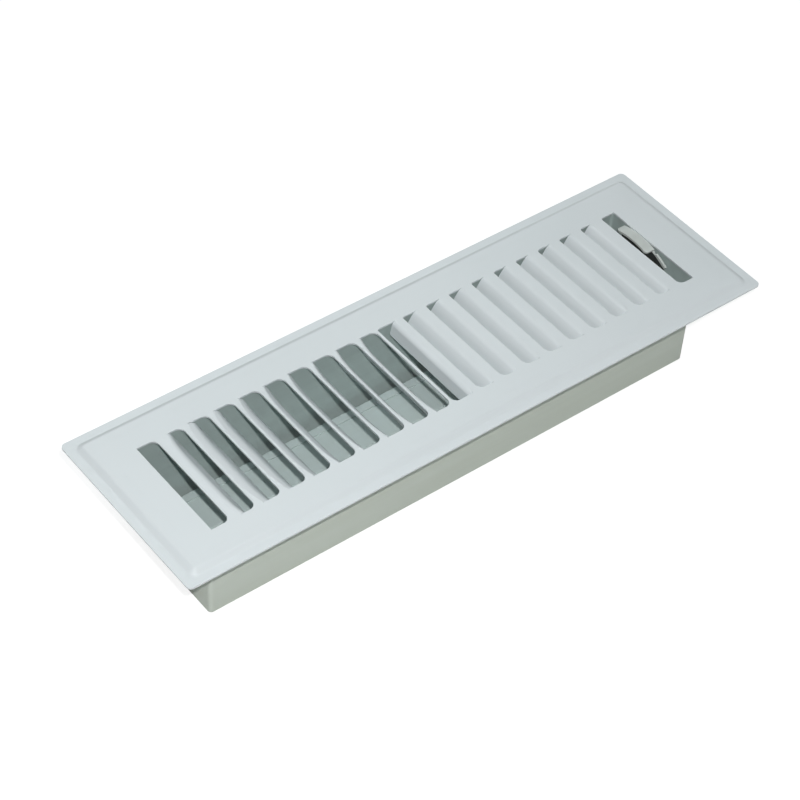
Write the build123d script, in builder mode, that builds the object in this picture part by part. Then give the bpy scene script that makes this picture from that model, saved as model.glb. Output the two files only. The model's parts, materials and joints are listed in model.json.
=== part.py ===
from build123d import *
import math
import os

# Louvred floor register in stamped sheet steel, in millimetres.
# Frame: +X along the length to the lever end, +Y from front to back, +Z up.
# The origin is under the middle of the part, level with the lower edge of the damper box.

os.makedirs("parts", exist_ok=True)

# Louvre pattern of the face
slot_width = 8.0
end_slot_width = 7.5
strip_width = 4.15
centre_bar = 1.2
centre_shift = 0.9
left_slots = 10
right_slots = 11
slot_corner = 3.0
tight_corner = 1.2
slot_end_margin = 1.0
front_shift = 0.6

# Slats bent down out of the face, tighter and steeper from the ends towards the centre bar
bend_lead = 2.15
centre_lead = 0.7
outer_radius = 7.0
inner_radius = 2.0
centre_radius = 1.2
outer_angle = 57.0
inner_angle = 70.0
centre_angle = 88.0
centre_depth = 8.0
slat_root = 1.0

# Face plate
face_gauge = 0.8
end_overlap = 21.05
side_overlap = 17.45
face_corner = 3.3
rim_width = 3.8
step_run = 2.4
step_corner = 1.2
field_rise = 1.6
step_top_radius = 2.4
step_foot_radius = 1.6

# Damper box
box_width = 54.0
box_depth = 45.0
box_gauge = 0.6
box_corner = 1.8
box_end_margin = 0.375
flange_width = 6.0
flange_relief = 2.5
flange_bend = 0.5
seam_lap = 12.0
seam_inset = 8.0

# Damper blades
blade_gauge = 0.6
blade_level = 10.0
blade_wall_gap = 4.4
blade_middle_gap = 1.2
hem_width = 4.0
ear_base = 12.4
ear_radius = 3.8
crank_ear_radius = 2.9
pivot_rise = 4.0
blade_opening = 80.0
crank_radius = 5.5

# Pivots and rivets
pivot_radius = 1.2
collar_radius = 1.7
crank_pin_radius = 1.0
tie_pin_radius = 1.2
head_radius = 2.2
head_height = 0.6
head_chamfer = 0.25
running_fit = 0.05
side_play = 0.1

# Tie bar, lever and washer
tie_gauge = 0.8
tie_half_height = 2.0
tie_pin_reach = 13.0
link_gap = 0.4
lever_head_gap = 0.9
lever_gauge = 1.0
lever_hub = 5.0
lever_arc_shift = 4.0
lever_far_angle = 17.4
lever_near_angle = 33.0
tab_near_angle = 16.5
tab_reach = 3.8
tab_below_face = 0.3
tab_corner = 1.6
notch_radius = 1.1
notch_lead_angle = 2.0
pin_slot_play = 0.35
washer_gauge = 0.9
washer_radius = 4.5

# How near an edge has to be to a line to be chosen by it
tolerance = 0.01

# Lengths that follow from the louvre pattern
slot_count = left_slots + right_slots
pitch = slot_width + strip_width
pattern_length = slot_count * slot_width + (slot_count - 2) * strip_width + centre_bar
box_length = pattern_length + 2 * (box_end_margin + box_gauge)
face_length = box_length + 2 * end_overlap
face_width = box_width + 2 * side_overlap
slot_length = box_width - 2 * (box_gauge + slot_end_margin)
step_length = face_length - 2 * rim_width
step_width = face_width - 2 * rim_width

# Heights
rim_bottom = box_depth
rim_top = rim_bottom + face_gauge
field_bottom = rim_bottom + field_rise
field_top = field_bottom + face_gauge
field_middle = (field_bottom + field_top) / 2

# Slot edges: left slots count from the left end, right slots from the centre bar
pattern_left = -pattern_length / 2
left_block_end = pattern_left + left_slots * slot_width + (left_slots - 1) * strip_width
right_block_start = left_block_end + centre_bar
left_starts = [pattern_left + pitch * i for i in range(left_slots)]
right_starts = [right_block_start + pitch * i for i in range(right_slots)]
left_ends = [start + slot_width for start in left_starts[:-1]] + [left_block_end - centre_shift]
right_first = right_block_start - centre_shift
right_high = [right_first] + right_starts[1:]

# Bend starts of the slats: left slats hang from the left edge of their slot, right ones from the right edge
left_bends = [start - bend_lead for start in left_starts[1:]]
right_bends = [right_block_start + slot_width + centre_lead]
right_bends += [start + slot_width + bend_lead for start in right_starts[1:-1]]
left_edges = [left_ends[0] - end_slot_width] + left_bends
right_edges = right_bends + [right_starts[-1] + end_slot_width]

# Damper linkage, in the plane of the end walls, with the blades closed
wall_x = box_length / 2 - box_gauge
blade_width = box_width / 2 - box_gauge - blade_wall_gap - blade_middle_gap / 2
pivot_y = (blade_width + blade_middle_gap) / 2
pivot_z = blade_level + pivot_rise
crank_tilt = math.radians(blade_opening / 2)
crank_dy = crank_radius * math.sin(crank_tilt)
crank_dz = crank_radius * math.cos(crank_tilt)
crank_z = pivot_z + crank_dz
tie_pin_z = pivot_z + tie_pin_reach
tie_pin_far = math.hypot(tie_pin_reach, 2 * crank_dy)
pin_slot_width = 2 * (tie_pin_radius + pin_slot_play)
lever_radius = field_top - tab_below_face - pivot_z

# Stack along the length at the lever end, from the end wall inwards
lever_outer = wall_x - washer_gauge - side_play
lever_inner = lever_outer - lever_gauge
tie_outer = lever_inner - lever_head_gap
tie_inner = tie_outer - tie_gauge
ear_outer = tie_inner - link_gap
left_ear_outer = -wall_x + washer_gauge + 2 * side_play


def step_sketch(height, inset):
    """Rounded outline of the raised step at one height, drawn inset from the rim."""
    with BuildSketch(Plane.XY.offset(height)) as outline:
        RectangleRounded(step_length - 2 * inset, step_width - 2 * inset, step_corner + step_run - inset)
    return outline.sketch


def near_height(edge, height):
    """True for an edge that lies flat at the given height."""
    box = edge.bounding_box()
    return abs(box.min.Z - height) < tolerance and abs(box.max.Z - height) < tolerance


def at_any(place, places):
    """True for a place that is one of the listed places."""
    return min(abs(place - other) for other in places) < tolerance


def inside_rim(edge):
    """True for an edge whose middle is within the step's outline."""
    middle = edge.center()
    return abs(middle.X) < step_length / 2 + tolerance and abs(middle.Y) < step_width / 2 + tolerance


# Face plate: rim, raised field, slots and slats in one sheet
with BuildPart() as step_core:
    loft(sections=[step_sketch(rim_bottom, 0), step_sketch(field_bottom, step_run)])
    fillet(step_core.faces().sort_by(Axis.Z)[-1].edges(), step_top_radius - face_gauge)

with BuildPart() as face_plate:
    with BuildSketch(Plane.XY.offset(rim_bottom)):
        RectangleRounded(face_length, face_width, face_corner)
    extrude(amount=face_gauge)
    loft(sections=[step_sketch(rim_top, 0), step_sketch(field_top, step_run)])
    fillet(face_plate.faces().sort_by(Axis.Z)[-1].edges(), step_top_radius)
    foot = [e for e in face_plate.edges() if near_height(e, rim_top) and inside_rim(e)]
    fillet(foot, step_foot_radius)
    add(step_core.part, mode=Mode.SUBTRACT)
    with BuildSketch(Plane.XY.offset(field_bottom)) as slots:
        for low, high in zip(left_edges + right_high, left_ends + right_edges):
            with Locations((low, -front_shift)):
                Rectangle(high - low, slot_length, align=(Align.MIN, Align.CENTER))
        fillet([v for v in slots.vertices() if at_any(v.X, left_ends)], slot_corner)
        fillet([v for v in slots.vertices() if at_any(v.X, right_high) and v.Y < 0], slot_corner)
        fillet([v for v in slots.vertices() if at_any(v.X, right_high) and v.Y > 0], tight_corner)
    extrude(amount=face_gauge, mode=Mode.SUBTRACT)
    with BuildSketch(Plane.XZ.offset(front_shift)):
        for bends, turn in ((left_bends, 1), (right_bends[::-1], -1)):
            for i, bend_start in enumerate(bends):
                share = i / (len(bends) - 2)
                radius = outer_radius + share * (inner_radius - outer_radius)
                angle = outer_angle + share * (inner_angle - outer_angle)
                depth = slot_width + bend_lead
                if i == len(bends) - 1:
                    radius, angle, depth = centre_radius, centre_angle, centre_depth
                with BuildLine():
                    flat = Line((bend_start - turn * slat_root, field_middle), (bend_start, field_middle))
                    bend = JernArc(flat @ 1, flat % 1, radius, -turn * angle)
                    Line(bend @ 1, (bend @ 1) + (bend % 1) * (depth - bend.length))
                trace(line_width=face_gauge)
    extrude(amount=slot_length / 2, both=True)
face_plate.part.label = "face_plate"
export_step(face_plate.part, "parts/face_plate.step")

# Damper box: a folded strip, closed by a lap seam at the back, with flanges under the face
with BuildPart() as damper_box:
    with BuildSketch():
        RectangleRounded(box_length, box_width, box_corner)
        RectangleRounded(
            box_length - 2 * box_gauge, box_width - 2 * box_gauge, box_corner - box_gauge, mode=Mode.SUBTRACT
        )
    extrude(amount=field_bottom)
    with BuildSketch(Plane.XY.offset(field_bottom - box_gauge)):
        Rectangle(box_length - 2 * flange_relief, box_width + 2 * flange_width)
        Rectangle(box_length + 2 * flange_width, box_width - 2 * flange_relief)
        Rectangle(box_length - box_gauge, box_width - box_gauge, mode=Mode.SUBTRACT)
    extrude(amount=box_gauge)
    mouth = [
        e
        for e in damper_box.edges().filter_by(GeomType.LINE)
        if near_height(e, field_bottom)
        and e.length > box_width / 2
        and abs(e.center().X) < box_length / 2
        and abs(e.center().Y) < box_width / 2
    ]
    fillet(mouth, flange_bend)
    with BuildSketch(Plane.XY):
        with Locations((box_length / 2 - seam_inset - seam_lap / 2, (box_width + box_gauge) / 2)):
            Rectangle(seam_lap, box_gauge)
    extrude(amount=field_bottom - box_gauge)
    with BuildSketch(Plane.YZ):
        with Locations((-pivot_y, pivot_z), (pivot_y, pivot_z)):
            Circle(pivot_radius)
    extrude(amount=box_length / 2, both=True, mode=Mode.SUBTRACT)
damper_box.part.label = "damper_box"
export_step(damper_box.part, "parts/damper_box.step")


def ear_outline(ear_x, y):
    """Bent-up end ear of a blade: a hull of its foot, its pivot eye and its crank eye."""
    with BuildSketch(Plane.YZ.offset(ear_x)) as ear:
        with Locations((y, blade_level + blade_gauge / 2)):
            Rectangle(ear_base, blade_gauge)
        with Locations((y, pivot_z)):
            Circle(ear_radius)
        with Locations((y + crank_dy, crank_z)):
            Circle(crank_ear_radius)
        make_hull()
        with Locations((y, pivot_z)):
            Circle(pivot_radius + running_fit, mode=Mode.SUBTRACT)
        with Locations((y + crank_dy, crank_z)):
            Circle(crank_pin_radius, mode=Mode.SUBTRACT)
    return ear.sketch


# Damper blades: hemmed sheets with an ear bent up at each end
for side, y in (("front", -pivot_y), ("back", pivot_y)):
    with BuildPart() as blade:
        with BuildSketch(Plane.YZ.offset(left_ear_outer)):
            with Locations((y, blade_level + blade_gauge / 2)):
                Rectangle(blade_width - 2 * blade_gauge, blade_gauge)
            for edge in (-1, 1):
                fold = y + edge * (blade_width / 2 - blade_gauge)
                with Locations((fold, blade_level + blade_gauge)):
                    Circle(blade_gauge)
                with Locations((fold - edge * (hem_width - blade_gauge) / 2, blade_level + blade_gauge)):
                    Rectangle(hem_width - blade_gauge, 2 * blade_gauge)
        extrude(amount=ear_outer - left_ear_outer)
        extrude(ear_outline(left_ear_outer, y), amount=blade_gauge, dir=(1, 0, 0))
        extrude(ear_outline(ear_outer, y), amount=blade_gauge, dir=(-1, 0, 0))
    blade.part.label = f"{side}_blade"
    export_step(blade.part, f"parts/{side}_blade.step")


def turned_pin(name, y, z, profile, crown=None):
    """A pin turned about an axis along X from (x, radius) corners; crown picks the end with a chamfer."""
    with BuildPart() as pin:
        with BuildSketch(Plane(origin=(0, y, z), x_dir=(1, 0, 0), z_dir=(0, -1, 0))):
            with BuildLine():
                Polyline((profile[0][0], 0), *profile, (profile[-1][0], 0), close=True)
            make_face()
        revolve(axis=Axis((0, y, z), (1, 0, 0)))
        if crown is not None:
            chamfer(pin.edges().filter_by(GeomType.CIRCLE).group_by(Axis.X)[crown], head_chamfer)
    pin.part.label = name
    export_step(pin.part, f"parts/{name}.step")


outer_head = wall_x + box_gauge + head_height
left_ear_inner = left_ear_outer + blade_gauge
ear_inner = ear_outer - blade_gauge

# Left pivots: plain rivets, headed outside the wall and inside the ear
for side, y in (("front", -pivot_y), ("back", pivot_y)):
    turned_pin(
        f"left_{side}_rivet",
        y,
        pivot_z,
        [
            (-outer_head, head_radius),
            (-wall_x - box_gauge, head_radius),
            (-wall_x - box_gauge, pivot_radius),
            (left_ear_inner + side_play, pivot_radius),
            (left_ear_inner + side_play, head_radius),
            (left_ear_inner + side_play + head_height, head_radius),
        ],
        crown=0,
    )

# Right pivots: the back one stops short of the wall and also carries the lever
for side, y, collar_end in (("front", -pivot_y, wall_x), ("back", pivot_y, lever_inner - side_play)):
    turned_pin(
        f"right_{side}_pin",
        y,
        pivot_z,
        [
            (ear_inner - side_play - head_height, head_radius),
            (ear_inner - side_play, head_radius),
            (ear_inner - side_play, pivot_radius),
            (ear_outer + side_play, pivot_radius),
            (ear_outer + side_play, collar_radius),
            (collar_end, collar_radius),
            (collar_end, pivot_radius),
            (wall_x + box_gauge, pivot_radius),
            (wall_x + box_gauge, head_radius),
            (outer_head, head_radius),
        ],
        crown=-1,
    )

# Crank rivets: held in the blades' ears, running in the tie bar
for side, y in (("front", -pivot_y), ("back", pivot_y)):
    turned_pin(
        f"{side}_crank_rivet",
        y + crank_dy,
        crank_z,
        [
            (ear_inner - head_height, head_radius),
            (ear_inner, head_radius),
            (ear_inner, crank_pin_radius),
            (tie_outer + side_play, crank_pin_radius),
            (tie_outer + side_play, head_radius - 2 * link_gap),
            (lever_inner - link_gap, head_radius - 2 * link_gap),
        ],
    )

# Tie bar: keeps the blades parallel, with a raised tab for the lever's pin
with BuildPart() as tie_bar:
    with BuildSketch(Plane.YZ.offset(tie_inner)) as tie_outline:
        with Locations((crank_dy, crank_z)):
            SlotCenterToCenter(2 * pivot_y, 2 * tie_half_height)
        with Locations((pivot_y, (crank_z + tie_pin_z) / 2)):
            SlotCenterToCenter(tie_pin_z - crank_z, 2 * tie_half_height, rotation=90)
        with Locations((crank_dy - pivot_y, crank_z), (crank_dy + pivot_y, crank_z)):
            Circle(crank_pin_radius + running_fit, mode=Mode.SUBTRACT)
        with Locations((pivot_y, tie_pin_z)):
            Circle(tie_pin_radius, mode=Mode.SUBTRACT)
    extrude(amount=tie_gauge)
tie_bar.part.label = "tie_bar"
export_step(tie_bar.part, "parts/tie_bar.step")

turned_pin(
    "tie_pin",
    pivot_y,
    tie_pin_z,
    [
        (tie_inner - head_height, head_radius),
        (tie_inner, head_radius),
        (tie_inner, tie_pin_radius),
        (lever_outer, tie_pin_radius),
    ],
)

# Thumb lever: a sector plate on the back pin, with an arc-shaped tab bent over along its top
arc_y = pivot_y - lever_arc_shift
far_angle = 90 - lever_far_angle
tab_sweep = lever_far_angle + tab_near_angle
with BuildPart() as thumb_lever:
    with BuildSketch(Plane.YZ.offset(lever_inner)):
        with Locations((pivot_y, pivot_z)):
            Circle(lever_hub)
        with BuildLine():
            CenterArc((arc_y, pivot_z), lever_radius, far_angle, lever_far_angle + lever_near_angle)
        make_hull()
        with Locations((pivot_y, pivot_z)):
            Circle(pivot_radius + running_fit, mode=Mode.SUBTRACT)
        with Locations((arc_y, pivot_z)):
            with PolarLocations(lever_radius, 1, start_angle=far_angle + tab_sweep + notch_lead_angle):
                Circle(notch_radius, mode=Mode.SUBTRACT)
        with Locations((pivot_y, pivot_z + (tie_pin_reach + tie_pin_far) / 2)):
            SlotCenterToCenter(tie_pin_far - tie_pin_reach, pin_slot_width, rotation=90, mode=Mode.SUBTRACT)
    extrude(amount=lever_gauge)
    with BuildSketch(Plane.YZ.offset(lever_outer)):
        with BuildLine():
            outer_arc = CenterArc((arc_y, pivot_z), lever_radius, far_angle, tab_sweep)
            inner_arc = CenterArc((arc_y, pivot_z), lever_radius - lever_gauge, far_angle, tab_sweep)
            Line(outer_arc @ 0, inner_arc @ 0)
            Line(outer_arc @ 1, inner_arc @ 1)
        make_face()
    extrude(amount=-(tab_reach + lever_gauge))
    free_corners = [
        e
        for e in thumb_lever.edges().filter_by(GeomType.LINE)
        if abs(e.center().X - (lever_inner - tab_reach)) < tolerance
    ]
    fillet(free_corners, tab_corner)
thumb_lever.part.label = "thumb_lever"
export_step(thumb_lever.part, "parts/thumb_lever.step")

# Friction washer between the lever and the end wall
with BuildPart() as lever_washer:
    with BuildSketch(Plane.YZ.offset(wall_x - washer_gauge)):
        with Locations((pivot_y, pivot_z)):
            Circle(washer_radius)
            Circle(pivot_radius + running_fit, mode=Mode.SUBTRACT)
    extrude(amount=washer_gauge)
lever_washer.part.label = "lever_washer"
export_step(lever_washer.part, "parts/lever_washer.step")
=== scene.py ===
"""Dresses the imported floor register: its enamelled louvred face, damper box, blades and linkage."""

import json
import math

import bpy
import bmesh
import numpy as np
from mathutils import Matrix, Vector


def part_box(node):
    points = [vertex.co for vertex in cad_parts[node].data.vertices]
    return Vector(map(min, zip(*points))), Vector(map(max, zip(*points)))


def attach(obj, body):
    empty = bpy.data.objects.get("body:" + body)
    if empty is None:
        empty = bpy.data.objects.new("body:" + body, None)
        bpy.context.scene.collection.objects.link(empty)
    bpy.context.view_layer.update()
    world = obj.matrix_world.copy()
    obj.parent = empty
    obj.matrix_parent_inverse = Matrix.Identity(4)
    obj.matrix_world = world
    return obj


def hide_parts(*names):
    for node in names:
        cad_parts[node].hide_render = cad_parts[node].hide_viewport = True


bl_info = {
    "name": "Louvred floor register",
    "version": (1, 0, 0),
    "blender": (4, 5, 0),
    "location": "View3D > Sidebar > Register",
    "description": "Builds the sheet-metal surfaces and finishes of a louvred floor register",
    "category": "Object",
}

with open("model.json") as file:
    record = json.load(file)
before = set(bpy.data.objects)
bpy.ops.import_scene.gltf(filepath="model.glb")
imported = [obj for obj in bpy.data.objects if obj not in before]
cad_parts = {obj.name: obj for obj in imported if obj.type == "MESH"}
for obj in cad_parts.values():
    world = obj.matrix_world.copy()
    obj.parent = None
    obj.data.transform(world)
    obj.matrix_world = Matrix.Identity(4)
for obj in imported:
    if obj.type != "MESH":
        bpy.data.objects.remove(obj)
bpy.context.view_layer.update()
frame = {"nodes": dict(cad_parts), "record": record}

MM = 0.001
mounts = {mount["name"]: mount for mount in frame["record"]["mounts"]}
RIM_UNDERSIDE = mounts["floor_seat"]["pos_m"][2]
FACE_HIGH = np.array(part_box("face_plate")[1])

# Damper box: its sheet, outside corner radius and flange, and half its outside length and width
BOX_LOW, BOX_HIGH = (np.array(corner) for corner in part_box("damper_box"))
BOX_GAUGE = 0.6 * MM
BOX_CORNER = 1.8 * MM
FLANGE = 6.0 * MM
WALL_HALF = BOX_HIGH[:2] - FLANGE

# Lever's tab: its thickness, the centre and radius of its arc, and the way over which its enamel gives way to
# the painted shadow on the plate below
TAB_GAUGE = 1.0 * MM
TAB_CENTRE = (0, 7.3 * MM, 14.0 * MM)
TAB_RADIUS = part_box("thumb_lever")[1][2] - TAB_CENTRE[2]
TAB_FADE = 0.5 * MM


# Settings


def length(name, description, millimetres):
    """A length setting, shown in the scene's unit and stored in metres."""
    return bpy.props.FloatProperty(
        name=name, description=description, default=millimetres * MM, unit="LENGTH", precision=5
    )


def angle(name, description, degrees):
    """An angle setting, shown in degrees and stored in radians."""
    return bpy.props.FloatProperty(
        name=name, description=description, default=math.radians(degrees), subtype="ANGLE"
    )


def colour(name, description, value):
    """A linear colour setting."""
    return bpy.props.FloatVectorProperty(
        name=name, description=description, default=value, size=3, min=0, max=1, subtype="COLOR"
    )


def amount(name, description, value):
    """A plain number."""
    return bpy.props.FloatProperty(name=name, description=description, default=value, precision=4)


def count(name, description, value):
    """A whole number."""
    return bpy.props.IntProperty(name=name, description=description, default=value)


class FaceSettings(bpy.types.PropertyGroup):
    """Sizes of the louvred face"""

    gauge: length("Gauge", "Thickness of the face sheet", 0.8)
    left_slots: count("Left slots", "Slots left of the centre bar", 10)
    right_slots: count("Right slots", "Slots right of the centre bar", 11)
    slot_width: length("Slot width", "Width of a slot without its bend's lead", 8.0)
    end_slot_width: length("End slot width", "Width of the first and the last slot", 7.5)
    slot_length: length("Slot length", "Clear length of a slot", 50.8)
    strip_width: length("Strip width", "Sheet between two slots", 4.15)
    left_widening: length("Left widening", "Added to the first slot's right edge, half near the centre", 1.1)
    centre_bar: length("Centre bar", "Bar between the two groups of slots", 1.2)
    centre_shift: length("Centre shift", "Centre bar's offset to the left", 0.9)
    front_shift: length("Front shift", "Offset of all the slots to the front", 0.6)
    slot_corner: length("Slot corner", "Corner radius at a slot's high edge", 3.0)
    tight_corner: length("Tight corner", "Corner radius at the back of a right slot's high edge", 1.2)
    slot_tip: length("Slot tip", "Corner radius where a slat is sheared from the sheet", 0.2)
    outer_lead: length("Outer lead", "Start of the outermost left slat's bend, before its slot's edge", 0.2)
    inner_lead: length("Inner lead", "The same on the inner left slats", 3.2)
    right_outer_lead: length("Right outer lead", "The outermost right slat's, inside its slot", -1.7)
    right_lead: length("Right lead", "The same on the inner right slats, inside their slots", -0.7)
    centre_lead: length("Centre lead", "The same, right of the centre bar", 0.7)
    end_bow: length("End bow", "How much later the left slats' bend starts at their two ends", 2.2)
    crease_radius: length("Crease radius", "Radius of a slat's short first bend", 1.5)
    inner_crease: angle("Inner crease", "Angle of the inner left slats' first bend", 52.0)
    right_crease: angle("Right crease", "Angle of the right slats' first bend", 48.0)
    main_start: length("Main start", "From the first to the main bend's start on the inner left slats", 2.9)
    outer_radius: length("Outer radius", "Main bend radius of the outermost left slat, at mid-sheet", 4.0)
    inner_radius: length("Inner radius", "Main bend radius of the inner left slats", 7.5)
    right_radius: length("Right radius", "Main bend radius of the right slats", 14.0)
    centre_radius: length("Centre radius", "Bend radius of the slat right of the centre bar", 1.6)
    outer_angle: angle("Outer angle", "How far the outermost left slat is bent down", 47.0)
    inner_angle: angle("Inner angle", "How far the inner left slats are bent down", 70.0)
    right_outer_angle: angle("Right outer angle", "How far the outermost right slat is bent down", 59.0)
    right_angle: angle("Right angle", "How far the inner right slats are bent down", 65.0)
    centre_angle: angle("Centre angle", "How far the slat right of the centre bar is bent down", 81.0)
    centre_depth: length("Centre depth", "Developed depth of the slat right of the centre bar", 7.0)
    slat_corner: length("Slat corner", "Corner radius at a slat's free edge", 0.9)
    rim_width: length("Rim width", "Flat rim outside the step", 3.8)
    rim_corner: length("Rim corner", "Corner radius of the plate", 2.2)
    step_run: length("Step run", "Width of the step up from the rim to the field", 2.4)
    step_corner: length("Step corner", "Corner radius of the step at the field", 1.2)
    step_top: length("Step top", "Radius at the top of the step", 2.4)
    step_foot: length("Step foot", "Radius at the foot of the step", 1.6)
    edge_round: length("Edge rounding", "Rounding of the painted edges", 0.22)


class FinishSettings(bpy.types.PropertyGroup):
    """Colours and gloss of the finishes"""

    face_colour: colour("Face enamel", "White enamel of the face", (0.72, 0.765, 0.785))
    box_colour: colour("Box paint", "Grey-white paint outside the box", (0.64, 0.695, 0.625))
    # Painted shade: the inside colour is a darker, cooler copy of the box paint, standing in for the dimmer,
    # cooler light inside the box, not for thinner paint.
    inside_shade_colour: colour("Inside paint", "Thinner, cooler paint inside the box", (0.43, 0.51, 0.495))
    # Painted shade: the blade colour is a darker, cooler copy of the box paint, standing in for the dimmer,
    # cooler light on the blades inside the box.
    blade_shade_colour: colour("Blade paint", "Cool grey-white paint of the blades", (0.51, 0.585, 0.575))
    steel_colour: colour("Zinc steel", "Zinc plate on the pins and tie bar", (0.62, 0.64, 0.65))
    lever_colour: colour("Lever enamel", "Thin enamel on the lever's tab", (0.61, 0.645, 0.62))
    # Painted shadow: near black on the lever plate below its tab, standing in for the slot's shade there, not
    # for bare steel.
    lever_shadow_colour: colour("Dark steel", "Bare steel of the lever below its tab", (0.045, 0.05, 0.047))
    face_roughness: amount("Face roughness", "Roughness of the face enamel", 0.24)
    box_roughness: amount("Box roughness", "Roughness of the box paint", 0.6)
    box_gloss: amount("Box gloss", "Specular level of the box paint", 0.15)
    steel_roughness: amount("Steel roughness", "Roughness of the zinc plate", 0.34)


class StageSettings(bpy.types.PropertyGroup):
    """Camera, lamps and floor"""

    azimuth: angle("Azimuth", "Camera's turn round the part", -41.0137)
    elevation: angle("Elevation", "Camera's height above the horizon", 45.2599)
    roll: angle("Roll", "Camera's roll", 4.4223)
    distance: length("Distance", "From the camera to the middle of the face", 951.87)
    slide_right: length("Slide right", "Camera's slide to its right", -10.6354)
    slide_down: length("Slide down", "Camera's slide downwards", 15.1566)
    focal: amount("Focal length", "Lens in millimetres on a 36 mm frame", 105.61)
    key_size: length("Key size", "Diameter of the key lamp beside the camera", 18.0)
    key_rise: length("Key rise", "Height of the key lamp over the lens", 38.0)
    key_side: length("Key side", "Key lamp's offset to the right of the lens", 23.0)
    key_power: amount("Key power", "Key lamp in watts", 5.8)
    top_power: amount("Top power", "Wide lamp overhead, in watts", 5.8)
    back_power: amount("Back power", "Wide lamp behind the part, in watts", 4.8)
    fill_colour: colour("Fill colour", "Colour of the two wide lamps", (0.92, 1.0, 1.0))
    ambient: amount("Ambient", "Strength of the surrounding light", 0.01)
    floor_glow: amount("Floor glow", "White the camera sees on the floor before lamplight", 0.86)


class RegisterSettings(bpy.types.PropertyGroup):
    """All settings of the floor register"""

    face: bpy.props.PointerProperty(type=FaceSettings, name="Face", description="Louvred face")
    finish: bpy.props.PointerProperty(type=FinishSettings, name="Finish", description="Finishes")
    stage: bpy.props.PointerProperty(type=StageSettings, name="Stage", description="Camera and lamps")


# Grids

MERGE_DISTANCE = 0.02 * MM
EDGE_ANGLE = math.radians(40)
EDGE_SEGMENTS = 2


def grid_faces(rows, columns, closed=False):
    """Quads of a rows by columns grid of points, numbered along the rows.

    A closed grid joins its last column to the first."""
    ends = np.arange(columns if closed else columns - 1)
    row = np.arange(rows - 1)[:, None] * columns
    near, far = row + ends, row + (ends + 1) % columns
    return np.stack([near, far, far + columns, near + columns], axis=-1).reshape(-1, 4)


def facing_up(points, faces):
    """The faces, each turned so that its normal points up.

    The normal is the cross product of the diagonals; the corners are reversed where it points down."""
    corner = points[faces]
    normal_z = np.cross(corner[:, 2] - corner[:, 0], corner[:, 3] - corner[:, 1])[:, 2]
    return np.where(normal_z[:, None] < 0, faces[:, ::-1], faces)


def sheet_object(name, points, faces):
    """One mesh object of the given points and quads, with coincident points merged and every face smooth."""
    mesh = bpy.data.meshes.new(name)
    mesh.from_pydata(points.tolist(), [], faces.tolist())
    work = bmesh.new()
    work.from_mesh(mesh)
    bmesh.ops.remove_doubles(work, verts=work.verts, dist=MERGE_DISTANCE)
    bmesh.ops.dissolve_degenerate(work, edges=work.edges, dist=MERGE_DISTANCE / 4)
    work.to_mesh(mesh)
    work.free()
    mesh.polygons.foreach_set("use_smooth", np.ones(len(mesh.polygons), dtype=bool))
    mesh.update()
    piece = bpy.data.objects.new(name, mesh)
    bpy.context.scene.collection.objects.link(piece)
    return piece


def give_gauge(piece, gauge, edge_round):
    """The sheet gets its thickness on its inner side and rounded cut edges."""
    wall = piece.modifiers.new("Gauge", "SOLIDIFY")
    wall.thickness = gauge
    wall.offset = -1
    wall.use_even_offset = True
    wall.use_rim = True
    rounding = piece.modifiers.new("Edges", "BEVEL")
    rounding.width = edge_round
    rounding.segments = EDGE_SEGMENTS
    rounding.limit_method = "ANGLE"
    rounding.angle_limit = EDGE_ANGLE
    rounding.harden_normals = True
    rounding.miter_outer = "MITER_ARC"
    return piece


def rounded_loop(half_x, half_y, radius, along_x, along_y, corner_steps):
    """Closed loop of a rounded rectangle: points along its straight sides, with quarter arcs between.

    along_x and along_y run from -1 to 1; side points are a fraction times the straight half-length, and each
    corner is centre plus radius times (cos, sin) of an angle turning a quarter."""
    turn = np.linspace(0, math.pi / 2, corner_steps + 1)[1:-1]
    straight_x, straight_y = half_x - radius, half_y - radius

    def corner(sign_x, sign_y, start):
        return np.stack(
            [
                sign_x * straight_x + radius * np.cos(start + turn),
                sign_y * straight_y + radius * np.sin(start + turn),
            ],
            axis=-1,
        )

    right = np.stack([np.full(len(along_y), half_x), straight_y * along_y], axis=-1)
    top = np.stack([straight_x * along_x[::-1], np.full(len(along_x), half_y)], axis=-1)
    left = np.stack([np.full(len(along_y), -half_x), straight_y * along_y[::-1]], axis=-1)
    bottom = np.stack([straight_x * along_x, np.full(len(along_x), -half_y)], axis=-1)
    return np.concatenate(
        [
            right,
            corner(1, 1, 0),
            top,
            corner(-1, 1, math.pi / 2),
            left,
            corner(-1, -1, math.pi),
            bottom,
            corner(1, -1, 1.5 * math.pi),
        ]
    )


# Face plate

SLOT_SIDE_STEPS = 18
SLOT_CORNER_STEPS = 8
SLOT_END_STEPS = 3
PLATE_CORNER_STEPS = 10
STEP_ARC_POINTS = 7
BEND_STEPS = 12
TAIL_STEPS = 6
LEAD_POWER = 0.2
CREASE_POWER = 0.7
BOW_POWER = 4
FIELD_MARGIN = 1.4 * MM
SAME_PLACE = 1e-9
PLACE_DIGITS = 8


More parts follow.
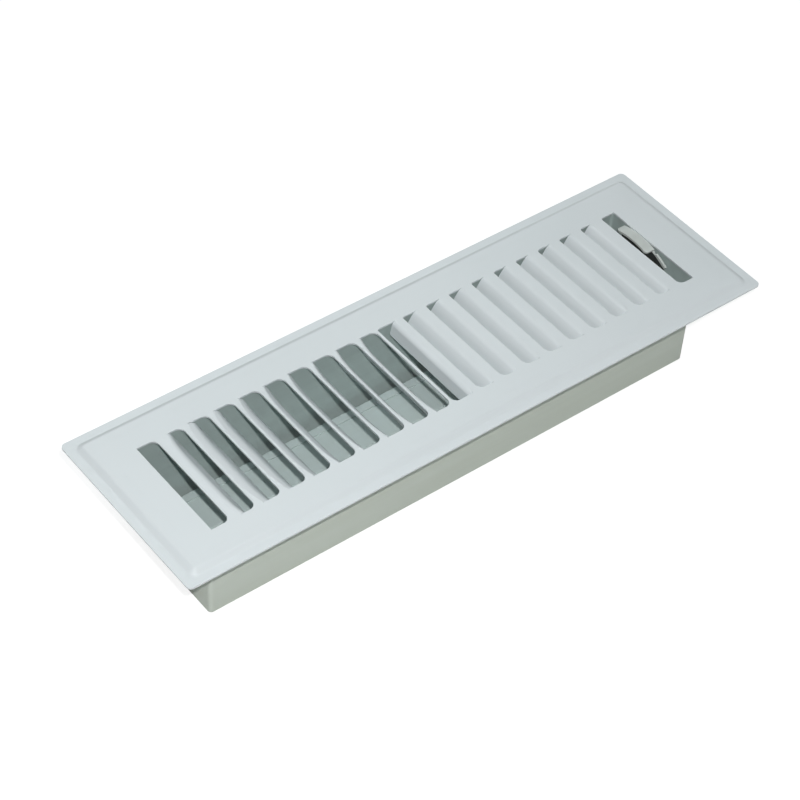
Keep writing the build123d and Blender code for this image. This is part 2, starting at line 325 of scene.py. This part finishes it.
def slot_table(face):
    """Every slot's edges, hinge side and corner radii, and its slat's bends, angles and developed depth.

    The hinge side is 1 for a slat on the left edge, -1 for one on the right edge, 0 for none. From the ends
    to the centre bar a slat's angle and lead run from the outer to the inner values, the lead growing faster
    near the ends. So do a left slat's two bends; the right slats' are alike, and the slat right of the bar
    has one bend and values of its own. Corner radii are listed right back, left back, left front, right
    front."""
    pitch = face.slot_width + face.strip_width
    left = np.arange(face.left_slots) * pitch
    right = left[-1] + face.slot_width + face.centre_bar + np.arange(face.right_slots) * pitch
    starts = np.concatenate([left, right])
    starts -= (starts[-1] + face.slot_width) / 2
    bar_left, bar_right = face.left_slots - 1, face.left_slots
    side = np.repeat([1, -1], [face.left_slots, face.right_slots])
    hinge = side.copy()
    hinge[[0, -1]] = 0
    inward = np.concatenate(
        [
            (np.arange(face.left_slots) - 1) / (face.left_slots - 3),
            (np.arange(face.right_slots)[::-1] - 1) / (face.right_slots - 3),
        ]
    ).clip(0, 1)
    ramp = inward**LEAD_POWER
    left_lead = face.outer_lead + ramp * (face.inner_lead - face.outer_lead)
    right_lead = face.right_outer_lead + ramp * (face.right_lead - face.right_outer_lead)
    lead = np.where(side == 1, left_lead, right_lead) * np.abs(hinge)
    lead[bar_right] = face.centre_lead
    low = starts - np.where(hinge == 1, lead, 0)
    high = starts + face.slot_width + np.where(hinge == -1, lead, 0)
    low[0] = high[0] - face.end_slot_width
    high[:bar_left] += face.left_widening * (1 - inward[:bar_left] / 2)
    high[-1] = low[-1] + face.end_slot_width
    high[bar_left] -= face.centre_shift
    low[bar_right] -= face.centre_shift

    left_radius = face.outer_radius + ramp * (face.inner_radius - face.outer_radius)
    outer_angle = np.where(side == 1, face.outer_angle, face.right_outer_angle)
    inner_angle = np.where(side == 1, face.inner_angle, face.right_angle)
    slat = {
        "crease": np.where(side == 1, inward**CREASE_POWER * face.inner_crease, face.right_crease),
        "start": np.where(side == 1, ramp * face.main_start, 0),
        "bend": outer_angle + inward * (inner_angle - outer_angle),
        "radius": np.where(side == 1, left_radius, face.right_radius),
        "depth": face.slot_width + lead,
        "bow": np.where(hinge == 1, face.end_bow, 0),
    }
    slat["crease"][bar_right] = 0
    slat["bend"][bar_right], slat["radius"][bar_right] = face.centre_angle, face.centre_radius
    slat["depth"][bar_right] = face.centre_depth

    corners = np.where(
        side[:, None] == 1,
        [face.slot_corner, face.slot_tip, face.slot_tip, face.slot_corner],
        [face.slot_tip, face.tight_corner, face.slot_corner, face.slot_tip],
    )
    return {"low": low, "high": high, "hinge": hinge, "corners": corners, **slat}


def slot_cells(face, table):
    """The flat field: every slot's outline joined to the outline of its cell.

    For a turn t round the slot and v across, the point is (1 - v) times the slot outline at t plus v times
    the cell outline at t. Both outlines have the same run of points: two sides, two ends and four corners,
    whose points lie on a quarter arc in the slot and go round the square corner in the cell. Cells meet
    halfway between two slots. The left side of a slot with a left slat is bowed: it comes in by a power of
    the distance from the middle of its length."""
    low, high = table["low"], table["high"]
    joints = (high[:-1] + low[1:]) / 2
    cell_low = np.concatenate([[low[0] - FIELD_MARGIN], joints])
    cell_high = np.concatenate([joints, [high[-1] + FIELD_MARGIN]])
    half = face.slot_length / 2
    cell_half = half + face.front_shift + FIELD_MARGIN
    cell_straight = half - face.slot_corner
    cell_corner = cell_half - cell_straight
    column = (slice(None), None)
    right_back, left_back, left_front, right_front = (r[column] for r in table["corners"].T)
    low, high, cell_low, cell_high = low[column], high[column], cell_low[column], cell_high[column]
    bow = table["bow"][column]
    low_end = low + bow

    side = np.linspace(0, 1, SLOT_SIDE_STEPS + 1)
    end = np.linspace(0, 1, SLOT_END_STEPS + 1)
    turn = np.linspace(0, math.pi / 2, SLOT_CORNER_STEPS + 1)[1:-1]
    rise = np.clip(2 * turn / (math.pi / 2), 0, 1)
    run = np.clip(2 * turn / (math.pi / 2) - 1, 0, 1)

    def rows(x, y):
        return np.stack(np.broadcast_arrays(x, y), axis=-1)

    def between(first, second, share):
        return first + (second - first) * share

    back_x = between(high - right_back, low_end + left_back, end)
    front_x = between(low_end + left_front, high - right_front, end)
    low_side = low + bow * np.abs(1 - 2 * side) ** BOW_POWER
    slot_parts = [
        rows(high, between(right_front - half, half - right_back, side)),
        rows(high - right_back * (1 - np.cos(turn)), half - right_back * (1 - np.sin(turn))),
        rows(back_x, half),
        rows(low_end + left_back * (1 - np.sin(turn)), half - left_back * (1 - np.cos(turn))),
        rows(low_side, between(half - left_back, left_front - half, side)),
        rows(low_end + left_front * (1 - np.cos(turn)), -half + left_front * (1 - np.sin(turn))),
        rows(front_x, -half),
        rows(high - right_front * (1 - np.sin(turn)), -half + right_front * (1 - np.cos(turn))),
    ]
    cell_parts = [
        rows(cell_high, between(-cell_straight, cell_straight, side)),
        rows(between(cell_high, back_x[:, :1], run), cell_straight + cell_corner * rise),
        rows(back_x, cell_half),
        rows(between(back_x[:, -1:], cell_low, rise), cell_half - cell_corner * run),
        rows(cell_low, between(cell_straight, -cell_straight, side)),
        rows(between(cell_low, front_x[:, :1], run), -cell_straight - cell_corner * rise),
        rows(front_x, -cell_half),
        rows(between(front_x[:, -1:], cell_high, rise), -cell_half + cell_corner * run),
    ]
    slot = np.concatenate(slot_parts, axis=1) - [0, face.front_shift]
    return slot, np.concatenate(cell_parts, axis=1), cell_half


def field_surface(face, table, height):
    """Points and quads of the flat field with its slots, the cells' outlines and their half-length."""
    slot, cell, cell_half = slot_cells(face, table)
    number, around = slot.shape[:2]
    flat = np.stack([slot, cell], axis=1)
    points = np.concatenate([flat, np.full(flat.shape[:3] + (1,), height)], axis=-1).reshape(-1, 3)
    one = grid_faces(2, around, closed=True)
    faces = (one[None] + np.arange(number)[:, None, None] * 2 * around).reshape(-1, 4)
    return points, faces, cell, cell_half


def slat_surface(face, table, height):
    """Points and quads of all the slats.

    Along its depth a slat turns down through a short first bend and a long main bend and then runs straight
    to its developed depth: its slope grows evenly along each bend, and the section is the running sum of the
    slope's cosine and sine. Across it, y runs over the slot's length, drawn in along a quarter circle near
    the free edge for its corners. The slot's bow is added to x, evenly less from the bend to the straight
    free edge."""
    hung = np.flatnonzero(table["hinge"])
    way = table["hinge"][hung][:, None, None]
    start = np.where(table["hinge"] == 1, table["low"], table["high"])[hung][:, None, None]
    crease, main, bend, neutral, depth = (
        table[key][hung][:, None] for key in ("crease", "start", "bend", "radius", "depth")
    )
    corner = face.slat_corner
    first_run = (face.crease_radius + face.gauge / 2) * crease
    main_run = (neutral + face.gauge / 2) * (bend - crease)
    main = np.maximum(main, first_run)
    whole = depth + face.gauge / 2 * bend
    share = np.linspace(0, 1, BEND_STEPS + 1)
    quarter = np.linspace(0, math.pi / 2, TAIL_STEPS + 1)
    along = np.concatenate(
        [first_run * share[::2], main + main_run * share, whole - corner + corner * np.sin(quarter)], axis=1
    )
    straight = np.repeat(bend, TAIL_STEPS + 1, axis=1)
    slope = np.concatenate([crease * share[::2], crease + (bend - crease) * share, straight], axis=1)
    middle, step = (slope[:, 1:] + slope[:, :-1]) / 2, np.diff(along, axis=1)
    depth_x = np.cumsum(np.concatenate([np.zeros_like(bend), step * np.cos(middle)], axis=1), axis=1)
    depth_z = -np.cumsum(np.concatenate([np.zeros_like(bend), step * np.sin(middle)], axis=1), axis=1)
    draw_in = np.concatenate([np.zeros(along.shape[1] - TAIL_STEPS - 1), corner * (1 - np.cos(quarter))])
    across = np.linspace(-1, 1, SLOT_SIDE_STEPS + 1)
    half = face.slot_length / 2 - face.slot_tip
    bow = table["bow"][hung][:, None, None] * (1 - along / whole)[:, :, None]
    x = start + way * (depth_x[:, :, None] + bow * np.abs(across) ** BOW_POWER)
    y = (half - draw_in)[None, :, None] * across - face.front_shift
    z = height + depth_z[:, :, None]
    points = np.stack(np.broadcast_arrays(x, y, z), axis=-1).reshape(-1, 3)
    rows, columns = depth_x.shape[1], len(across)
    one = grid_faces(rows, columns)
    faces = (one[None] + np.arange(len(hung))[:, None, None] * rows * columns).reshape(-1, 4)
    return points, faces


def step_profile(face, rim_top, field_top):
    """Inset from the plate's edge and height, from the rim's edge up the step to the field.

    The step is a straight slope between an arc at its foot and an arc at its top, both tangent to it."""
    slope = math.atan2(field_top - rim_top, face.step_run)
    foot_reach = face.step_foot * math.tan(slope / 2)
    top_reach = face.step_top * math.tan(slope / 2)
    turn = np.linspace(0, slope, STEP_ARC_POINTS)
    foot_x = face.rim_width - foot_reach + face.step_foot * np.sin(turn)
    foot_z = rim_top + face.step_foot * (1 - np.cos(turn))
    top_x = face.rim_width + face.step_run + top_reach - face.step_top * np.sin(turn[::-1])
    top_z = field_top - face.step_top * (1 - np.cos(turn[::-1]))
    inset = np.concatenate([[0, face.rim_width / 2], foot_x, top_x])
    height = np.concatenate([[rim_top, rim_top], foot_z, top_z])
    return inset, height


def border_surface(face, cell, cell_half, rim_top, field_top):
    """Points and quads of the border, from the rim's edge over the step to the field's outline.

    Each ring is a rounded rectangle at one inset and height of the step profile; its side points keep the
    fractions that the field's outline has, and the last ring is that outline."""
    half_x, half_y = FACE_HIGH[:2]
    last = cell[-1]
    ends = cell[np.abs(np.abs(cell[..., 1]) - cell_half) < SAME_PLACE]
    right_side = last[np.abs(last[:, 0] - last[:, 0].max()) < SAME_PLACE]
    along_x = np.unique(np.round(ends[ends[:, 1] > 0][:, 0], PLACE_DIGITS))
    along_y = np.unique(np.round(right_side[:, 1], PLACE_DIGITS))
    pattern_half = np.abs(along_x).max()
    shares = (along_x / pattern_half, along_y / cell_half)
    inset, height = step_profile(face, rim_top, field_top)
    corner = np.where(
        inset < face.rim_width,
        face.rim_corner,
        np.maximum(face.step_corner + face.step_run + face.rim_width - inset, face.step_corner / 2),
    )
    rings = [
        rounded_loop(half_x - i, half_y - i, r, *shares, PLATE_CORNER_STEPS) for i, r in zip(inset, corner)
    ]
    rings.append(rounded_loop(pattern_half, cell_half, 0.0, *shares, PLATE_CORNER_STEPS))
    heights = np.append(height, field_top)
    loops = np.stack(rings)
    points = np.concatenate([loops, np.broadcast_to(heights[:, None, None], loops.shape[:2] + (1,))], axis=-1)
    return points.reshape(-1, 3), grid_faces(loops.shape[0], loops.shape[1], closed=True)


def face_sheet(face):
    """The whole face as one sheet: border, field and slats share their points where they meet."""
    field_top = FACE_HIGH[2]
    rim_top = RIM_UNDERSIDE + face.gauge
    table = slot_table(face)
    field_points, field_faces, cell, cell_half = field_surface(face, table, field_top)
    parts = [
        (field_points, field_faces),
        slat_surface(face, table, field_top),
        border_surface(face, cell, cell_half, rim_top, field_top),
    ]
    offset = np.cumsum([0] + [len(points) for points, _ in parts[:-1]])
    points = np.concatenate([points for points, _ in parts])
    faces = np.concatenate([facing_up(p, f) + o for (p, f), o in zip(parts, offset)])
    piece = sheet_object("face_sheet", points, faces)
    return give_gauge(piece, face.gauge, face.edge_round)


# Finishes

NOISE_LOW, NOISE_HIGH = 0.3, 0.7


def node_tree(name):
    """A new material with its nodes and the shader and object coordinates to link."""
    material = bpy.data.materials.new(name)
    material.use_nodes = True
    nodes, links = material.node_tree.nodes, material.node_tree.links
    return material, nodes, links, nodes["Principled BSDF"], nodes.new("ShaderNodeTexCoord").outputs["Object"]


def noise(nodes, links, where, scale, detail):
    """A noise pattern of the given scale per metre on the given coordinates."""
    node = nodes.new("ShaderNodeTexNoise")
    node.inputs["Scale"].default_value = scale
    node.inputs["Detail"].default_value = detail
    links.new(where, node.inputs["Vector"])
    return node.outputs["Fac"]


def spread(nodes, links, value, low, high, from_low=NOISE_LOW, from_high=NOISE_HIGH):
    """The value's range, or else the middle range of a noise, stretched to run from low to high."""
    node = nodes.new("ShaderNodeMapRange")
    node.inputs["From Min"].default_value = from_low
    node.inputs["From Max"].default_value = from_high
    node.inputs["To Min"].default_value = low
    node.inputs["To Max"].default_value = high
    links.new(value, node.inputs["Value"])
    return node.outputs["Result"]


def blend_colour(nodes, links, value, first, second):
    """A colour that runs from the first to the second with the value."""
    node = nodes.new("ShaderNodeMix")
    node.data_type = "RGBA"
    node.inputs["A"].default_value = (*first, 1)
    node.inputs["B"].default_value = (*second, 1)
    links.new(value, node.inputs["Factor"])
    return node.outputs["Result"]


def bump(nodes, links, height, distance, normal=None):
    """A normal, or the one given, bent by a height pattern of the given depth in metres."""
    node = nodes.new("ShaderNodeBump")
    node.inputs["Strength"].default_value = 1.0
    node.inputs["Distance"].default_value = distance
    links.new(height, node.inputs["Height"])
    if normal is not None:
        links.new(normal, node.inputs["Normal"])
    return node.outputs["Normal"]


def stretched(nodes, links, where, scale):
    """Coordinates scaled by a different amount along each axis."""
    node = nodes.new("ShaderNodeMapping")
    node.inputs["Scale"].default_value = scale
    links.new(where, node.inputs["Vector"])
    return node.outputs["Vector"]


def tinted(base, factor, tint=(1, 1, 1)):
    """The base colour times a factor and a tint."""
    return tuple(min(1.0, c * factor * t) for c, t in zip(base, tint))


def face_enamel(finish):
    """White stoved enamel: an even colour that drifts a little, with a fine orange-peel surface."""
    material, nodes, links, shader, where = node_tree("face_enamel")
    base = tuple(finish.face_colour)
    drift = spread(nodes, links, noise(nodes, links, where, scale=14.0, detail=2.0), 0, 1)
    cool = tinted(base, factor=0.985, tint=(0.995, 1.0, 1.0))
    warm = tinted(base, factor=1.012, tint=(1.004, 1.0, 1.0))
    links.new(blend_colour(nodes, links, drift, cool, warm), shader.inputs["Base Color"])
    level = finish.face_roughness
    gloss = noise(nodes, links, where, scale=60.0, detail=2.0)
    links.new(
        spread(nodes, links, gloss, low=level - 0.012, high=level + 0.015), shader.inputs["Roughness"]
    )
    coarse = noise(nodes, links, where, scale=420.0, detail=1.0)
    fine = noise(nodes, links, where, scale=2400.0, detail=1.0)
    peel = bump(nodes, links, coarse, distance=0.0025 * MM)
    links.new(bump(nodes, links, fine, distance=0.0006 * MM, normal=peel), shader.inputs["Normal"])
    return material


def within(nodes, links, where, half_x, half_y, corner):
    """1 where a point lies inside a rounded rectangle round the middle, else 0.

    The point's distances from the middle, less the straight sides' half-lengths and no less than 0, make a
    vector that is shorter than the corner's radius inside. Twice the box's height is taken off the point's
    height, so height adds nothing."""
    above = 2 * BOX_HIGH[2]
    size = nodes.new("ShaderNodeVectorMath")
    size.operation = "ABSOLUTE"
    links.new(where, size.inputs[0])
    over = nodes.new("ShaderNodeVectorMath")
    over.operation = "SUBTRACT"
    over.inputs[1].default_value = (half_x - corner, half_y - corner, above)
    links.new(size.outputs[0], over.inputs[0])
    past = nodes.new("ShaderNodeVectorMath")
    past.operation = "MAXIMUM"
    links.new(over.outputs[0], past.inputs[0])
    reach = nodes.new("ShaderNodeVectorMath")
    reach.operation = "LENGTH"
    links.new(past.outputs[0], reach.inputs[0])
    inner = nodes.new("ShaderNodeMath")
    inner.operation = "LESS_THAN"
    inner.inputs[1].default_value = corner
    links.new(reach.outputs["Value"], inner.inputs[0])
    return inner.outputs[0]


def sheet_paint(finish, name, base, inside=None):
    """Thin matt paint on rolled sheet: faint streaks along the rolling direction and a dry surface.

    Where a colour for the inside is given, it covers what lies within the middle of the box's walls: painted
    shade, a darker and cooler copy of the paint for the dimmer light inside the box."""
    material, nodes, links, shader, where = node_tree(name)
    rolled = stretched(nodes, links, where, scale=(12.0, 160.0, 160.0))
    streak = noise(nodes, links, rolled, scale=1.0, detail=4.0)
    shade = spread(nodes, links, streak, 0, 1)
    dull = tinted(base, factor=0.97, tint=(1.0, 1.0, 0.99))
    bright = tinted(base, factor=1.02, tint=(1.0, 1.0, 1.01))
    paint = blend_colour(nodes, links, shade, dull, bright)
    # Painted shade: inside the walls the paint turns to the darker, cooler inside colour.
    if inside is not None:
        wall = WALL_HALF - BOX_GAUGE / 2
        inner = blend_colour(nodes, links, shade, tinted(inside, factor=0.94), tinted(inside, factor=1.05))
        sides = nodes.new("ShaderNodeMix")
        sides.data_type = "RGBA"
        links.new(within(nodes, links, where, *wall, BOX_CORNER - BOX_GAUGE / 2), sides.inputs["Factor"])
        links.new(paint, sides.inputs["A"])
        links.new(inner, sides.inputs["B"])
        paint = sides.outputs["Result"]
    links.new(paint, shader.inputs["Base Color"])
    shader.inputs["Specular IOR Level"].default_value = finish.box_gloss
    level = finish.box_roughness
    patches = noise(nodes, links, where, scale=220.0, detail=4.0)
    links.new(
        spread(nodes, links, patches, low=level - 0.06, high=level + 0.07), shader.inputs["Roughness"]
    )
    grain = noise(nodes, links, where, scale=700.0, detail=3.0)
    links.new(bump(nodes, links, grain, distance=0.012 * MM), shader.inputs["Normal"])
    return material


def zinc_steel(finish):
    """Bright zinc plate on steel: metal with a clouded tone and fine drawn scratches."""
    material, nodes, links, shader, where = node_tree("zinc_plate")
    base = tuple(finish.steel_colour)
    cloud = spread(nodes, links, noise(nodes, links, where, scale=260.0, detail=4.0), 0, 1)
    dull = tinted(base, factor=0.9)
    bright = tinted(base, factor=1.08, tint=(1.0, 1.0, 0.98))
    links.new(blend_colour(nodes, links, cloud, dull, bright), shader.inputs["Base Color"])
    shader.inputs["Metallic"].default_value = 1.0
    level = finish.steel_roughness
    patches = noise(nodes, links, where, scale=900.0, detail=4.0)
    links.new(
        spread(nodes, links, patches, low=level - 0.08, high=level + 0.1), shader.inputs["Roughness"]
    )
    drawn = stretched(nodes, links, where, scale=(400.0, 3000.0, 3000.0))
    scratches = noise(nodes, links, drawn, scale=1.0, detail=3.0)
    links.new(bump(nodes, links, scratches, distance=0.008 * MM), shader.inputs["Normal"])
    return material


def lever_paint(finish):
    """Enamel worn thin along the lever's tab, over the plate below it, which is painted near black as painted
    shadow for the shade in the slot.

    The share of enamel rises from 0 to 1 over a short way in the distance from the tab's arc centre."""
    material, nodes, links, shader, where = node_tree("lever_paint")
    offset = nodes.new("ShaderNodeVectorMath")
    offset.operation = "SUBTRACT"
    links.new(where, offset.inputs[0])
    offset.inputs[1].default_value = TAB_CENTRE
    flat = nodes.new("ShaderNodeVectorMath")
    flat.operation = "MULTIPLY"
    links.new(offset.outputs[0], flat.inputs[0])
    flat.inputs[1].default_value = (0, 1, 1)
    reach = nodes.new("ShaderNodeVectorMath")
    reach.operation = "LENGTH"
    links.new(flat.outputs[0], reach.inputs[0])
    edge = TAB_RADIUS - TAB_GAUGE
    share = spread(nodes, links, reach.outputs["Value"], 0, 1, edge - TAB_FADE, edge)
    worn = spread(nodes, links, noise(nodes, links, where, scale=180.0, detail=3.0), 0, 1)
    base = finish.lever_colour
    enamel = blend_colour(nodes, links, worn, tinted(base, factor=0.93), tinted(base, factor=1.04))
    both = nodes.new("ShaderNodeMix")
    both.data_type = "RGBA"
    links.new(share, both.inputs["Factor"])
    # Painted shadow: below the tab the lever is near black.
    both.inputs["A"].default_value = (*finish.lever_shadow_colour, 1)
    links.new(enamel, both.inputs["B"])
    links.new(both.outputs["Result"], shader.inputs["Base Color"])
    rough = spread(nodes, links, share, finish.box_roughness, finish.face_roughness, from_low=0, from_high=1)
    links.new(rough, shader.inputs["Roughness"])
    shader.inputs["Specular IOR Level"].default_value = finish.box_gloss
    return material


def finish_nodes(material, names):
    """Puts one finish on the named CAD nodes."""
    for name in names:
        for slot in frame["nodes"][name].material_slots:
            slot.link = "OBJECT"
            slot.material = material


def finish_piece(piece, material, body, slot, *nodes):
    """Puts a finish on a new piece, sets it on its body and lets it stand for CAD nodes."""
    piece.data.materials.append(material)
    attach(piece, body)
    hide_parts(*nodes)


# Stage

FLOOR_COLOUR = (0.72, 0.72, 0.72, 1)
FLOOR_SEEN_COLOUR = (0.3, 0.3, 0.3, 1)
AROUND_COLOUR = (0.97, 1.0, 1.0, 1)
SENSOR_WIDTH = 36
CLIP_START = 10 * MM
TOP_LAMP_PLACE = Vector((0, 0, 1.6))
BACK_LAMP_PLACE = Vector((0.45, 1.15, 0.95))
WIDE_LAMP_SIZE = 1.1
FLOOR_REACH = 3.0
FLOOR_POINTS = 7
FLOOR_GAP = 0.05 * MM


def seen_white(nodes, links):
    """1 for rays from the camera and for mirror and glass rays, 0 for light that reaches other surfaces."""
    path = nodes.new("ShaderNodeLightPath")
    total = path.outputs["Is Camera Ray"]
    for output in ("Is Glossy Ray", "Is Transmission Ray"):
        node = nodes.new("ShaderNodeMath")
        node.operation = "MAXIMUM"
        links.new(total, node.inputs[0])
        links.new(path.outputs[output], node.inputs[1])
        total = node.outputs["Value"]
    return total


def floor_finish(stage):
    """Pale matt floor; the camera sees it darker but glowing, so that it stays white and keeps the shadow."""
    material = bpy.data.materials.new("studio_floor")
    material.use_nodes = True
    nodes, links = material.node_tree.nodes, material.node_tree.links
    nodes.clear()
    output = nodes.new("ShaderNodeOutputMaterial")
    matt = nodes.new("ShaderNodeBsdfDiffuse")
    matt.inputs["Color"].default_value = FLOOR_COLOUR
    seen = nodes.new("ShaderNodeBsdfDiffuse")
    seen.inputs["Color"].default_value = FLOOR_SEEN_COLOUR
    glow = nodes.new("ShaderNodeEmission")
    glow.inputs["Strength"].default_value = stage.floor_glow
    both = nodes.new("ShaderNodeAddShader")
    links.new(seen.outputs[0], both.inputs[0])
    links.new(glow.outputs[0], both.inputs[1])
    mix = nodes.new("ShaderNodeMixShader")
    links.new(seen_white(nodes, links), mix.inputs["Fac"])
    links.new(matt.outputs[0], mix.inputs[1])
    links.new(both.outputs[0], mix.inputs[2])
    links.new(mix.outputs[0], output.inputs["Surface"])
    return material


def studio_world(stage):
    """Even surrounding light, white where the camera or a mirror sees it."""
    world = bpy.data.worlds.new("studio_world")
    world.use_nodes = True
    nodes, links = world.node_tree.nodes, world.node_tree.links
    nodes.clear()
    output = nodes.new("ShaderNodeOutputWorld")
    around = nodes.new("ShaderNodeBackground")
    around.inputs["Color"].default_value = AROUND_COLOUR
    around.inputs["Strength"].default_value = stage.ambient
    white = nodes.new("ShaderNodeBackground")
    white.inputs["Color"].default_value = (1, 1, 1, 1)
    mix = nodes.new("ShaderNodeMixShader")
    links.new(seen_white(nodes, links), mix.inputs["Fac"])
    links.new(around.outputs[0], mix.inputs[1])
    links.new(white.outputs[0], mix.inputs[2])
    links.new(mix.outputs[0], output.inputs["Surface"])
    bpy.context.scene.world = world


def camera_axes(stage):
    """Right, up and back directions of the camera, turned by azimuth, elevation and roll."""
    a, e, r = stage.azimuth, stage.elevation, stage.roll
    back = Vector((math.sin(a) * math.cos(e), -math.cos(a) * math.cos(e), math.sin(e)))
    right = (-back).cross(Vector((0, 0, 1))).normalized()
    up = right.cross(-back)
    return math.cos(r) * right + math.sin(r) * up, math.cos(r) * up - math.sin(r) * right, back


def aimed_lamp(name, kind, place, target, energy, size):
    """An area lamp at a place, turned to a target."""
    lamp = bpy.data.lights.new(name, "AREA")
    lamp.shape = kind
    lamp.energy = energy
    lamp.size = size
    holder = bpy.data.objects.new(name, lamp)
    holder.location = place
    holder.rotation_euler = (target - place).to_track_quat("-Z", "Y").to_euler()
    bpy.context.scene.collection.objects.link(holder)
    return holder


def build_stage(stage):
    """Floor, lamps, world and camera."""
    bpy.context.scene.view_settings.view_transform = "Standard"
    middle = Vector((0, 0, RIM_UNDERSIDE))
    right, up, back = camera_axes(stage)
    place = middle + back * stage.distance + right * stage.slide_right - up * stage.slide_down
    camera = bpy.data.cameras.new("camera")
    camera.sensor_width = SENSOR_WIDTH
    camera.lens = stage.focal
    camera.clip_start = CLIP_START
    holder = bpy.data.objects.new("camera", camera)
    holder.matrix_world = Matrix.Translation(place) @ Matrix((right, up, back)).transposed().to_4x4()
    bpy.context.scene.collection.objects.link(holder)
    bpy.context.scene.camera = holder

    flash = place + up * stage.key_rise + right * stage.key_side
    aimed_lamp("key_lamp", "DISK", flash, middle, stage.key_power, stage.key_size)
    for name, spot, power in (
        ("top_lamp", TOP_LAMP_PLACE, stage.top_power),
        ("back_lamp", BACK_LAMP_PLACE, stage.back_power),
    ):
        lamp = aimed_lamp(name, "SQUARE", spot, middle, power, WIDE_LAMP_SIZE)
        lamp.data.color = stage.fill_colour

    reach = np.linspace(-FLOOR_REACH, FLOOR_REACH, FLOOR_POINTS)
    x, y = np.meshgrid(reach, reach)
    points = np.stack([x, y, np.full(x.shape, BOX_LOW[2] - FLOOR_GAP)], axis=-1).reshape(-1, 3)
    floor = sheet_object("studio_floor", points, facing_up(points, grid_faces(len(reach), len(reach))))
    floor.data.materials.append(floor_finish(stage))
    studio_world(stage)


# Operators


class REGISTER_OT_face(bpy.types.Operator):
    """Build the louvred face sheet"""

    bl_idname = "register.face"
    bl_label = "Louvred face"

    def execute(self, context):
        settings = context.scene.floor_register
        piece = face_sheet(settings.face)
        enamel = face_enamel(settings.finish)
        finish_piece(piece, enamel, "register", "face_paint", "face_plate")
        return {"FINISHED"}


class REGISTER_OT_box(bpy.types.Operator):
    """Finish the damper box and its blades"""

    bl_idname = "register.box"
    bl_label = "Damper box"

    def execute(self, context):
        finish = context.scene.floor_register.finish
        box_paint = sheet_paint(finish, "box_paint", finish.box_colour, finish.inside_shade_colour)
        finish_nodes(box_paint, ["damper_box"])
        # Painted shade: the blades get their darker, cooler colour for the light inside the box.
        finish_nodes(sheet_paint(finish, "blade_paint", finish.blade_shade_colour), ["front_blade", "back_blade"])
        return {"FINISHED"}


class REGISTER_OT_linkage(bpy.types.Operator):
    """Finish the lever, pins, rivets, tie bar and washer"""

    bl_idname = "register.linkage"
    bl_label = "Damper linkage"

    def execute(self, context):
        finish = context.scene.floor_register.finish
        words = ("rivet", "pin", "tie", "washer")
        steel = [name for name in frame["nodes"] if any(word in name for word in words)]
        finish_nodes(zinc_steel(finish), steel)
        finish_nodes(lever_paint(finish), ["thumb_lever"])
        return {"FINISHED"}


class REGISTER_OT_stage(bpy.types.Operator):
    """Set the camera, lamps and floor"""

    bl_idname = "register.stage"
    bl_label = "Stage"

    def execute(self, context):
        build_stage(context.scene.floor_register.stage)
        return {"FINISHED"}


class REGISTER_PT_panel(bpy.types.Panel):
    """Lists the register's operators and settings"""

    bl_idname = "REGISTER_PT_panel"
    bl_label = "Floor register"
    bl_space_type = "VIEW_3D"
    bl_region_type = "UI"
    bl_category = "Register"

    def draw(self, context):
        settings = context.scene.floor_register
        for operator in OPERATORS:
            self.layout.operator(operator.bl_idname)
        for group in (settings.face, settings.finish, settings.stage):
            box = self.layout.box()
            for name in group.__annotations__:
                box.prop(group, name)


SETTINGS = (FaceSettings, FinishSettings, StageSettings, RegisterSettings)
OPERATORS = (REGISTER_OT_face, REGISTER_OT_box, REGISTER_OT_linkage, REGISTER_OT_stage)


def register():
    """Adds the settings, operators and panel."""
    for item in (*SETTINGS, *OPERATORS, REGISTER_PT_panel):
        bpy.utils.register_class(item)
    bpy.types.Scene.floor_register = bpy.props.PointerProperty(
        type=RegisterSettings, name="Floor register", description="Sizes and finishes of the register"
    )


def unregister():
    """Removes what register added."""
    del bpy.types.Scene.floor_register
    for item in reversed((*SETTINGS, *OPERATORS, REGISTER_PT_panel)):
        bpy.utils.unregister_class(item)


def main():
    """Builds the register."""
    register()
    bpy.ops.register.face()
    bpy.ops.register.box()
    bpy.ops.register.linkage()
    bpy.ops.register.stage()
    bpy.context.view_layer.update()


if __name__ == "__main__":
    main()
